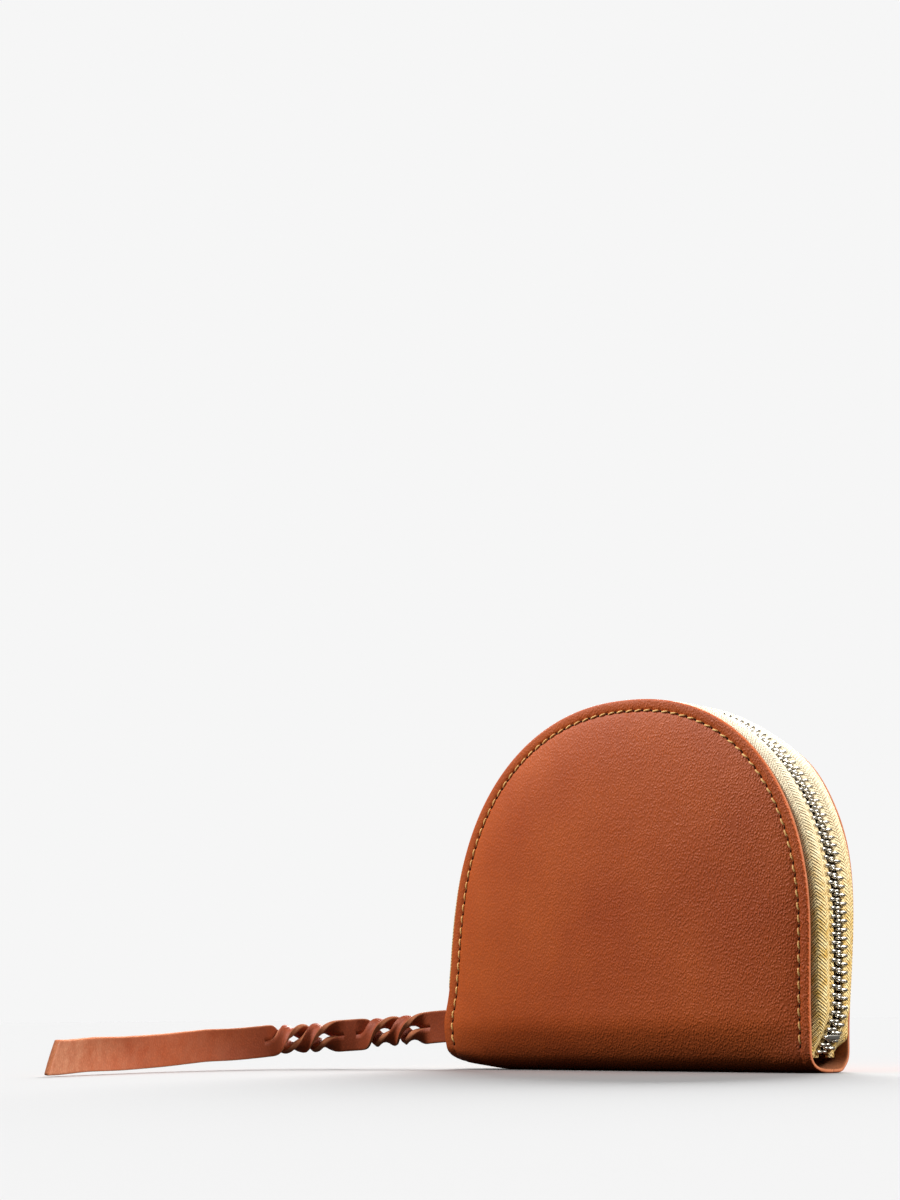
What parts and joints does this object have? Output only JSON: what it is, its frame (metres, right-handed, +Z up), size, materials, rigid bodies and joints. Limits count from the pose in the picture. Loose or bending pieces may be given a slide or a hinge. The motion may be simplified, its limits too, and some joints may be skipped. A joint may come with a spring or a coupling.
{
  "type": "zippered pouch",
  "caption": "Half-moon leather coin pouch with a folded base, a metal zip over the arch, a fabric lining with a slip pocket, and a flat twisted wrist strap sewn at one lower corner.",
  "frame": {"origin": "middle of the folded base, on the surface that the pouch stands on", "axes": "+X along the width, away from the wrist strap; -Y out of the front panel; +Z up towards the top of the arch"},
  "size_m": [0.1751, 0.136, 0.0955],
  "materials": {
    "leather": "smooth tan, fine grain",
    "board": "raw",
    "lining": "plain weave cotton",
    "thread": "waxed thread",
    "zip_tape": "herringbone weave",
    "teeth": "polished",
    "slider_metal": "plated"
  },
  "bodies": {
    "back_half": {"back_panel": "leather", "front_fold": "leather", "base_strip": "leather", "back_fold": "leather", "back_stiffener": "board", "base_lining": "lining", "back_lining": "lining", "slip_pocket": "lining", "back_stitching": "thread", "back_tape_margin": "zip_tape", "back_tape": "zip_tape", "back_tape_edge": "zip_tape", "left_tape_end": "zip_tape", "right_tape_end": "zip_tape", "back_teeth": "teeth", "left_end_teeth": "teeth", "right_end_teeth": "teeth", "top_stops": "teeth", "bottom_stop": "teeth", "strap_tab": "leather", "strap": "leather"},
    "front_half": {"front_panel": "leather", "front_stiffener": "board", "front_lining": "lining", "front_stitching": "thread", "front_tape_margin": "zip_tape", "front_tape": "zip_tape", "front_tape_edge": "zip_tape", "front_teeth": "teeth"},
    "slider": {"slider_body": "slider_metal", "slider_cap": "slider_metal", "lock_spring": "slider_metal"},
    "puller": {"pull_tab": "slider_metal"}
  },
  "joints": [
    {"name": "front_open", "type": "hinge", "parent": "back_half", "child": "front_half", "pos_m": [0, -0.00825, 0.007], "axis": [1, 0, 0], "range_deg": [0, 40]},
    {"name": "slider_travel", "type": "hinge", "parent": "back_half", "child": "slider", "pos_m": [0, 0, 0.03], "axis": [0, 1, 0], "range_deg": [0, 206.4]},
    {"name": "pull_swing", "type": "hinge", "parent": "slider", "child": "puller", "pos_m": [-0.06616, 0, 0.01448], "axis": [0, 1, 0], "range_deg": [-10, 150]}
  ]
}
